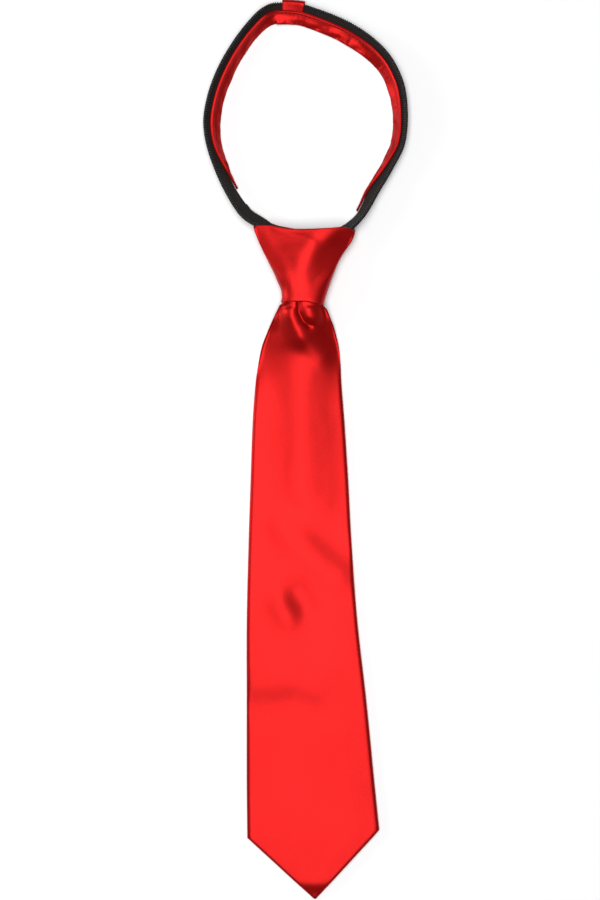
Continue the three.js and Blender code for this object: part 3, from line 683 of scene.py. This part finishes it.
# Shape of the blade's cut sheet: a hem, the left flap, the front and the right flap
bladeStyle = {
    "length": 317, "width": 70.5, "thickness": 3, "lean": 6.6,
    "tipLength": 36.6, "shoulderOffset": 4.3, "tipBluntness": 0.8,
    "edgeRoll": 2, "crown": 0.3, "gatherDome": 4.4, "domeRun": 58, "rightDome": 1.35, "leastThickness": 1.1,
    "tailPress": 0.60, "tailRunOut": 66, "neckThickness": 6, "neckEdgeRoll": 1.6,
    "neckInsert": 3.5, "gatherStart": 7.5, "gatherLength": 27, "lapWidth": 16, "clothThickness": 0.35,
    "hem": 7, "hemRadius": 0.45, "floorGap": 0.12,
    # place down, then how far the left and right edges stand out from the neck to the full width
    "plan": [
        (0.000, 0.000, 0.000), (0.003, 0.040, 0.000), (0.007, 0.095, 0.020), (0.013, 0.130, 0.110),
        (0.027, 0.225, 0.185), (0.040, 0.300, 0.250), (0.054, 0.375, 0.294), (0.074, 0.475, 0.350),
        (0.100, 0.555, 0.385),
        (0.134, 0.630, 0.397), (0.200, 0.708, 0.444), (0.300, 0.778, 0.498), (0.400, 0.844, 0.537),
        (0.535, 0.918, 0.626), (0.669, 0.953, 0.778), (0.803, 0.988, 0.907), (0.894, 1.000, 1.000),
    ],
    # place down, rise and reach of what holds the blade up
    "support": [
        (0.00, 1.00, 2.20), (0.03, 0.86, 2.00), (0.05, 0.71, 1.80), (0.10, 0.60, 1.40),
        (0.16, 0.58, 1.20), (0.33, 0.58, 1.20),
    ],
    # pleats under the knot: width, height, and points x, down, in millimetres
    "pleats": [
        (5.0, 1.00, [(-6.6, -1.0), (-6.3, 9.0), (-4.6, 14.0), (-1.0, 19.0)]),
        (6.0, 1.20, [(-1.0, 19.0), (4.0, 24.0), (10.0, 29.0)]),
        (1.8, -2.00, [(-1.9, -2.5), (-1.9, 6.0), (0.3, 10.4), (3.4, 12.8)]),
        (2.6, -0.60, [(3.4, 12.8), (8.5, 14.0), (13.0, 15.0)]),
        (4.8, 1.00, [(3.8, -1.0), (4.4, 8.5)]),
    ],
    # slack waves of the length: the same, from the middle line
    "waves": [
        (8.0, 0.76, [(-14.0, 121.0), (1.0, 134.0), (15.0, 146.0)]),
        (8.0, -0.76, [(-6.0, 111.0), (9.0, 124.0), (24.0, 136.0)]),
        (7.0, 1.15, [(-14.6, 161.5), (-11.4, 167.5)]),
        (7.0, -1.15, [(-5.8, 155.0), (-2.4, 161.0)]),
        (9.0, 0.66, [(-28.2, 202.0), (-8.0, 200.0), (2.0, 204.0)]),
        (9.0, -0.66, [(-28.2, 216.0), (-8.0, 214.0), (2.0, 218.0)]),
        (21.2, 0.44, [(3.5, 237.8), (7.0, 272.6)]),
    ],
}


def bladeHalfWidths(down):
    style = bladeStyle
    if down < 0:
        return neckHalf, neckHalf
    halves = []
    for column, shoulder in ((1, style["length"] - style["tipLength"] + style["shoulderOffset"]),
                             (2, style["length"] - style["tipLength"])):
        full = neckHalf + (style["width"] / 2 - neckHalf) * readTable(
            style["plan"], column, down / style["length"])
        halves.append(mix(full, style["tipBluntness"], clamp((down - shoulder) / (style["length"] - shoulder))))
    return tuple(halves)


mouthRise = (knotStyle["wall"] + 2 * clearance + coilBase + zipperStyle["coilHeight"]
             + zipperStyle["tapeThickness"] / 2 + neckHalf * 0.7 * math.tan(math.radians(mouthCup)))


def supportRise(down, runOut):
    share = min(clamp(down / bladeStyle["length"]), 0.33)
    fall = 1 - smooth((down - zipperStyle["tailLength"]) / runOut)
    return share, fall, mouthRise * readTable(bladeStyle["support"], 1, share) * fall


# Height of what the blade's back lies on: flat in the knot's mouth, a low ridge over the tail
def supportHeight(x, down):
    share, fall, rise = supportRise(down, zipperStyle["tailRunOut"])
    reach = knotStyle["mouthWidth"] * readTable(bladeStyle["support"], 2, share) / 1.2
    reach *= mix(1, 0.45, smooth((down - 2) / 10)) * mix(1, 2.2, smooth((down - 14) / 24))
    flat = neckHalf * fall * (1 - smooth((down - 8) / 25))
    t = clamp((abs(x) - flat) / reach)
    return rise * math.cos(t * math.pi / 2) ** 2


# The front spreads that height over the whole width and runs it out farther down
def frontRise(x, down, half):
    share, fall, rise = supportRise(down + 3, bladeStyle["tailRunOut"])
    rise *= 1 - bladeStyle["tailPress"] * smooth((down - bladeStyle["gatherStart"]) / bladeStyle["gatherLength"])
    near = smooth(down / 20)
    t = clamp((abs(x) - neckHalf * (1 - near)) / half)
    return rise * math.cos(t * math.pi / 2) ** 2


# Columns of the cut sheet, each (part, place within the part)
bladeColumns = [("hem", t) for t in spread(0, 1, 4)[:-1]]
bladeColumns += [("turn", t) for t in spread(0, 1, 6)[:-1]]
bladeColumns += [("leftFlap", t) for t in spread(0, 1, 18)[:-1]]
bladeColumns += [("leftEdge", t) for t in spread(0, 1, 10)[:-1]]
bladeColumns += [("front", t) for t in spread(0, 1, 52)[:-1]]
bladeColumns += [("rightEdge", t) for t in spread(0, 1, 10)[:-1]]
bladeColumns += [("rightFlap", t) for t in spread(0, 1, 26)]


def bladeRows():
    style = bladeStyle
    shoulder = style["length"] - style["tipLength"]
    rows = [mix(-style["neckInsert"], shoulder, 0.34 * t + 0.66 * t * t) for t in spread(0, 1, 170)]
    rows += spread(shoulder, shoulder + style["shoulderOffset"], 3)[1:]
    rows += spread(shoulder + style["shoulderOffset"], style["length"], 18)[1:]
    return rows


def bladeSpot(column, down):
    style = bladeStyle
    part, t = column
    left, right = bladeHalfWidths(down)
    gather = 1 - smooth((down - style["gatherStart"]) / style["gatherLength"])
    thickness = mix(style["thickness"], style["neckThickness"], gather)
    thickness *= mix(0.35, 1, smooth((style["length"] - down) / 9))
    middleX = style["lean"] * max(0, down) / style["length"]
    roll = min(mix(style["edgeRoll"], style["neckEdgeRoll"], gather), left * 0.9, right * 0.9)
    hemRadius = style["hemRadius"] * smooth(thickness / 3)
    lowestX = min(0.0, left * 0.1)
    level, rounded, raised = -1, 1.0, 0.0
    if part == "hem":
        x = lowestX - hemRadius - style["hem"] * (1 - t) * smooth(left / 20)
        raised = 2 * hemRadius
    elif part == "turn":
        angle = math.pi * (0.5 - t)
        x = lowestX - hemRadius + hemRadius * math.cos(angle)
        raised = hemRadius + hemRadius * math.sin(angle)
    elif part == "leftFlap":
        x = mix(lowestX - hemRadius, -left + roll, t)
    elif part == "leftEdge":
        angle = math.pi * (t - 0.5)
        x = -left + roll * (1 - math.cos(angle))
        rounded, level = abs(math.sin(angle)), math.copysign(1, math.sin(angle))
    elif part == "front":
        x = mix(-left + roll, right - roll, t)
        level = 1
    elif part == "rightEdge":
        angle = math.pi * (0.5 - t)
        x = right - roll * (1 - math.cos(angle))
        rounded, level = abs(math.sin(angle)), math.copysign(1, math.sin(angle))
    else:
        inner = lowestX - (style["hem"] + 3) * smooth(left / 20)
        x = mix(right - roll, inner, t)
        over = 2 * hemRadius + 0.1
        raised = over * (1 - smooth((x - 1) / style["lapWidth"])) * smooth((right - roll - x) / 3)
    under = supportHeight(x + middleX, down)
    over = softMax(frontRise(x, down, min(left, right)) + thickness, under + style["leastThickness"], 0.5)
    middle = (under + over) / 2
    if level < 0:
        z = mix(middle, under, rounded) + raised
    else:
        crown = style["crown"] * (1 - gather) * (1 - (2 * x / (left + right)) ** 2)
        pleat = foldHeight(style["pleats"], x + middleX, down)
        free = (down - knotStyle["mouthDrop"]) / (2 * knotStyle["mouthDrop"]) if pleat > 0 \
            else (down + style["neckInsert"]) / style["neckInsert"]
        wave = foldHeight(style["waves"], x, down)
        slack = 0.16 * noise.noise(Vector((x * 0.05, down * 0.035, 1.5))) \
            + 0.05 * noise.noise(Vector((x * 0.16, down * 0.10, 7.5)))
        dome = -style["gatherDome"] * (1 - smooth(down / style["domeRun"])) * smooth(down / 4)
        dome *= abs(2 * x / (left + right)) ** 2.6 * (style["rightDome"] if x > 0 else 1)
        shape = crown + dome + pleat * smooth(free) + wave + slack
        z = mix(middle, softMax(over + shape, under + style["leastThickness"], 0.5), rounded)
    return spot(x + middleX, -down, max(z, style["floorGap"]))


blade = drape("blade_satin", bladeColumns, bladeRows(), bladeSpot)
faceUp(blade)
thicken(blade, bladeStyle["clothThickness"] * mm)
dress(blade, redSatin, "satin", "blade")
print("blade made")


# Knot: a wrap of satin with its rims turned in, drawn up the outside and down the inside

def knotRings():
    style = knotStyle
    rings = [(t, 0.0, 0.0) for t in spread(0, 1, style["outerRows"])]
    rim = [math.pi * i / 7 for i in range(1, 7)]
    half = style["wall"] / 2
    rings += [(1.0, half * (1 - math.cos(a)), half * math.sin(a)) for a in rim]
    rings += [(t, style["wall"], 0.0) for t in spread(1, 0, style["innerRows"])]
    rings += [(0.0, half * (1 + math.cos(a)), -half * math.sin(a)) for a in rim]
    return rings


def knotSpot(angle, ring):
    style = knotStyle
    share, inset, bulge = ring
    thickness = mix(style["mouthThickness"], style["thickness"], smooth(share))
    left = mouthHalf + (knotHalf - mouthHalf) * readTable(style["plan"], 1, share) - inset
    right = mouthHalf + (knotHalf - mouthHalf) * readTable(style["plan"], 2, share) - inset
    halfHeight = thickness / 2 - inset
    cosine, sine = math.cos(angle), math.sin(angle)
    squareness = style["frontSquareness"] if sine > 0 else style["rearSquareness"]
    outX = math.copysign(abs(cosine) ** (2 / squareness), cosine)
    outZ = math.copysign(abs(sine) ** (2 / squareness), sine)
    x = outX * (left if outX < 0 else right)
    rim = mix(readTable(style["frontRim"], 1, x), readTable(style["rearRim"], 1, x), smooth(0.5 - outZ))
    rim -= style["cornerNotch"] * smooth((abs(outX) - 0.955) / 0.035)
    drop = -style["mouthDrop"] * smooth(outX)
    y = share * style["height"] + bulge
    y += (rim - style["height"]) * smooth(share * 3 - 2) + drop * (1 - smooth(share * 4))
    z = thickness / 2 + outZ * halfHeight
    if outZ > 0:
        crest = readTable(style["crest"], 1, share)
        slope = readTable(style["crest"], 2 if x < crest else 3, share)
        full = halfHeight * style["frontFullness"]
        roof = full - slope * (math.hypot(x - crest, style["crestRadius"]) - style["crestRadius"])
        z = thickness / 2 - softMax(-outZ * full, -roof, 0.6)
        shape = foldHeight(style["folds"], x, share * style["height"])
        shape *= smooth(share * 8 + 0.2) * smooth((1 - share) * 8 + 0.4)
        shape += 0.10 * noise.noise(Vector((x * 0.14, share * 5.0, 4.0)))
        z += shape * outZ
    return spot(x, y, z)


knotAngles = [2 * math.pi * i / knotStyle["sides"] for i in range(knotStyle["sides"])]
knot = drape("knot_wrap", knotAngles, knotRings(), knotSpot, wrapAcross=True, wrapAlong=True)
dress(knot, redSatin, "satin", "knot")


# Black strip laid over the knot's rear rim, from one tape to the other: black tape near the corners, painted shade
# along the middle, where the rim's top edge lies in shadow
knotEdgeStyle = {
    "reach": 0.95, "thickness": 2.0, "overlap": 1.4,
    "route": [(-29.8, 51.8), (-26.8, 47.8), (-24.2, 45.0), (-21.6, 43.2), (-18.5, 41.9), (-14.5, 40.7), (-8.7, 39.1),
              (-1.3, 37.8), (9.3, 37.4), (17.0, 37.6), (21.6, 38.6), (24.8, 40.6), (26.6, 43.0)],
}


def knotEdgeSpot(corner, place):
    style = knotEdgeStyle
    route = [Vector((x, y, 0)) for x, y in style["route"]]
    at = curvePoint(route, place, True)
    ahead = curvePoint(route, min(1, place + 1e-3), True)
    behind = curvePoint(route, max(0, place - 1e-3), True)
    tangent = (ahead - behind).normalized()
    across = Vector((-tangent.y, tangent.x, 0))
    if across.y < 0:
        across = -across
    at = at + across * corner[0]
    return spot(at.x, at.y, corner[1])


edgeOutline = stripOutline(-knotEdgeStyle["overlap"], knotEdgeStyle["reach"] - 0.6, -0.05,
                           knotEdgeStyle["thickness"], 16, 3)
# the strip's black is the tape's colour near the corners and painted shade in the middle of the rim
knotEdge = drape("knot_rim_tape_and_painted_shade", edgeOutline, spread(0, 1, 90), knotEdgeSpot, wrapAcross=True)
dress(knotEdge, blackWeave, "zipper_tape")
print("knot made")


# Facing: satin stitched along the inside of the loop, with a ridge where its edge is turned

def facingSpot(corner, signedDistance):
    style = facingStyle
    if signedDistance < 0:
        start, end = facingSpan(-signedDistance, style["leftEnd"], style["leftTaper"], style["thinTip"])
    else:
        start, end = facingSpan(signedDistance, style["rightEnd"], style["rightTaper"], style["thinTip"])
    start -= style["overlap"] * smooth((end - start) / 4)
    inShare, outShare = corner
    inwards = mix(start, end, inShare)
    out = mix(coilBase, coilBase + style["thickness"], outShare)
    if outShare > 0.5:
        fromEdge = inwards - start
        ridge = style["ridgeHeight"] * math.exp(-((fromEdge - style["ridgeAt"]) / 0.45) ** 2)
        groove = style["grooveDepth"] * math.exp(-((fromEdge - style["ridgeAt"] - 1.0) / 0.5) ** 2)
        slant = (signedDistance + 1.3 * fromEdge) / style["puckerRun"]
        pucker = style["puckerHeight"] * noise.noise(Vector((slant, 0.2 * fromEdge, 2.0)))
        pucker += 0.25 * noise.noise(Vector((signedDistance * 0.5, fromEdge * 0.5, 5.0)))
        if signedDistance < 0:
            pucker *= style["leftShare"]
        shape = ridge - groove + pucker * smooth((fromEdge - 1.2) / 2)
        out += (outShare - 0.5) * 2 * shape * smooth((end - start) / 4)
    return placeOn(loopFrame(signedDistance), inwards, out)


facingOutline = stripOutline(0, 1, 0, 1, 44, 5)
facingRuns = spread(-facingStyle["leftEnd"], facingStyle["rightEnd"], 350)
facing = drape("facing_satin", facingOutline, facingRuns, facingSpot, wrapAcross=True)
bm = bmesh.new()
bm.from_mesh(facing.data)
bmesh.ops.holes_fill(bm, edges=[e for e in bm.edges if e.is_boundary])
bm.to_mesh(facing.data)
bm.free()
dress(facing, redSatin, "satin", "facing")
print("facing made")


# Cover of the tapes' ends: a strip of satin folded over the coil edge
coverStyle = {"length": 12.2, "wall": 1.2, "reach": 4.18}


def coverSpot(corner, signedDistance):
    return placeOn(loopFrame(signedDistance), corner[0], corner[1])


def coverCorners(style):
    middle = coilBase + style["wall"] / 2
    centreIn = middle - clearance - style["wall"] / 2 - style["wall"] / 2 + 0.3
    leg = spread(style["reach"], centreIn, 5)
    corners = [(x, middle) for x in leg]
    corners += [(centreIn - middle * math.sin(math.pi * i / 10), middle * math.cos(math.pi * i / 10))
                for i in range(1, 10)]
    corners += [(x, -middle) for x in reversed(leg)]
    return corners


coverHalf = coverStyle["length"] / 2
cover = drape("back_cover_fold", coverCorners(coverStyle), spread(-coverHalf, coverHalf, 16), coverSpot)
solidify = cover.modifiers.new("thickness", "SOLIDIFY")
solidify.thickness = (coverStyle["wall"] - 0.1) * mm
solidify.offset = 0
refine(cover, 1)
dress(cover, redSatin, "satin", "back_cover")
print("cover made")

# Coils, slider and stop
for side, frames in routes.items():
    coilEnd = frames[-1][0] - zipperStyle["stopLength"] - clearance
    coil = makeCoil("coil_" + side + "_teeth", frames, coverHalf + clearance, coilEnd,
                    0.0 if side == "left" else 0.5)
    dress(coil, blackNylon, "zipper_coil", "coil_" + side)
print("coils made")


# Stitches: each one a short round thread, as (middle, way along, length)
stitchStyle = {
    "thickness": 0.28, "facingPitch": 2.4, "facingLength": 1.7, "coverPitch": 1.6, "coverLength": 1.1,
    "slipPitch": 7.0, "slipLength": 2.2, "tackWidth": 6.0, "tackThreads": 9, "tackFromTip": 62,
}


def makeStitches(name, stitches):
    bm = bmesh.new()
    thickness = stitchStyle["thickness"] * mm
    for middle, along, length in stitches:
        turn = along.to_track_quat("X", "Z").to_matrix().to_4x4()
        matrix = Matrix.Translation(middle) @ turn @ Matrix.Diagonal((length * mm, thickness, thickness, 1))
        bmesh.ops.create_icosphere(bm, subdivisions=2, radius=0.5, matrix=matrix)
    for vert in bm.verts:
        vert.co.z = max(vert.co.z, 0)
    stitching = finishMesh(name, bm)
    dress(stitching, redThread, "satin")


def facingStitches():
    style = facingStyle
    stitches = []
    seam = style["start"] - style["overlap"] + style["ridgeAt"] + 1.0
    lastTurn = 0.70
    distance = -style["leftEnd"] * lastTurn
    while distance < style["rightEnd"] * lastTurn:
        tapeFrame = loopFrame(distance)
        out = coilBase + style["thickness"] - style["grooveDepth"] + 0.12
        middle = placeOn(tapeFrame, seam, out)
        ahead = placeOn(loopFrame(distance + 0.5), seam, out)
        stitches.append((middle, (ahead - middle).normalized(), stitchStyle["facingLength"]))
        distance += stitchStyle["facingPitch"]
    return stitches


def coverStitches():
    stitches = []
    steps = int((coverStyle["length"] - 1.6) / stitchStyle["coverPitch"])
    for i in range(steps + 1):
        distance = (i - steps / 2) * stitchStyle["coverPitch"]
        for out in (coilBase + coverStyle["wall"], -coilBase - coverStyle["wall"] + 0.1):
            middle = placeOn(loopFrame(distance), coverStyle["reach"] - 0.8, out)
            ahead = placeOn(loopFrame(distance + 0.5), coverStyle["reach"] - 0.8, out)
            stitches.append((middle, (ahead - middle).normalized(), stitchStyle["coverLength"]))
    return stitches


# Slip stitches along the seam of the blade's back, and a bar of threads across it near the tip
def seamStitches():
    style = stitchStyle
    stitches = []
    down = 34.0
    tackDown = bladeStyle["length"] - style["tackFromTip"]
    while down < tackDown - 5:
        middle = bladeSpot(("turn", 0.5), down)
        stitches.append((middle, Vector((0.5, -1, 0)).normalized(), style["slipLength"]))
        down += style["slipPitch"]
    for i in range(style["tackThreads"]):
        middle = bladeSpot(("turn", 0.5), tackDown + i * style["thickness"])
        middle.z = style["thickness"] / 2 * mm
        stitches.append((middle, Vector((1, 0, 0)), style["tackWidth"]))
    return stitches


redThread = newMaterial("redThread", (0.36, 0.006, 0.006), 0.55)[0]
makeStitches("facing_stitches", facingStitches())
makeStitches("back_cover_stitches", coverStitches())
makeStitches("blade_seam_stitches", seamStitches())
print("stitches made")


def addBlock(bm, low, high):
    middle = (spot(*low) + spot(*high)) / 2
    size = spot(*high) - spot(*low)
    matrix = Matrix.Translation(middle) @ Matrix.Diagonal((size.x, size.y, size.z, 1))
    bmesh.ops.create_cube(bm, size=1, matrix=matrix)


def makeSlider(style):
    low = passageFloor
    top = low + 2 * style["plate"] + style["hollow"]
    half = style["width"] / 2
    end = sliderStart + style["length"]
    bm = bmesh.new()
    addBlock(bm, (-half, sliderStart, low), (half, end, low + style["plate"]))
    addBlock(bm, (-half, sliderStart, top - style["plate"]), (half, end, top))
    bmesh.ops.bevel(bm, geom=bm.edges[:], offset=style["bevel"] * mm, segments=3, profile=0.5,
                    affect="EDGES", material=-1)
    addBlock(bm, (-style["bridgeWidth"] / 2, end - style["bridgeLength"], low + style["plate"] / 2),
             (style["bridgeWidth"] / 2, end - style["bevel"], top - style["plate"] / 2))
    return finishMesh("slider_body", bm)


slider = makeSlider(sliderStyle)
dress(slider, blackEnamel, "zipper_metal", "slider")


def makeStop():
    low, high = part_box("bottom_stop")
    bm = bmesh.new()
    size = high - low
    matrix = Matrix.Translation((low + high) / 2) @ Matrix.Diagonal((size.x, size.y, size.z, 1))
    bmesh.ops.create_cube(bm, size=1, matrix=matrix)
    bmesh.ops.bevel(bm, geom=bm.edges[:], offset=0.4 * mm, segments=3, profile=0.5,
                    affect="EDGES", material=-1)
    return finishMesh("bottom_stop_block", bm)


stop = makeStop()
dress(stop, blackNylon, "zipper_coil", "bottom_stop")
print("slider and stop made")


# Floor and light
floorStyle = {"colour": (0.93, 0.93, 0.935), "size": 6.0}


def makeFloor(style):
    bm = bmesh.new()
    bmesh.ops.create_grid(bm, x_segments=1, y_segments=1, size=style["size"] / 2)
    floor = finishMesh("floor", bm, turnOut=False)
    material, tree, shader = newMaterial("paleFloor", style["colour"], 0.9)
    floor.data.materials.append(material)


makeFloor(floorStyle)

lightStyle = {
    "front": {"place": (-0.09, 0.02, 1.55), "size": (0.78, 1.70), "watts": 28.0, "spread": 180,
              "aim": (-0.09, 0.02, 0.0)},
    "side": {"place": (-1.20, 0.15, 0.24), "size": (0.40, 0.80), "watts": 7.0, "spread": 180,
             "aim": (0.0, 0.10, 0.0)},
    "world": 0.12,
}


def addSoftBox(name, style):
    lightData = bpy.data.lights.new(name, "AREA")
    lightData.shape = "RECTANGLE"
    lightData.size, lightData.size_y = style["size"]
    lightData.energy = style["watts"]
    lightData.spread = math.radians(style["spread"])
    light = bpy.data.objects.new(name, lightData)
    light.location = style["place"]
    aim = Vector(style["aim"]) - Vector(style["place"])
    light.rotation_euler = aim.to_track_quat("-Z", "Y").to_euler()
    scene.collection.objects.link(light)


addSoftBox("frontLight", lightStyle["front"])
addSoftBox("sideLight", lightStyle["side"])
world = bpy.data.worlds.new("studio")
world.use_nodes = True
world.node_tree.nodes["Background"].inputs["Color"].default_value = (1, 1, 1, 1)
world.node_tree.nodes["Background"].inputs["Strength"].default_value = lightStyle["world"]
scene.world = world
print("floor and light made")
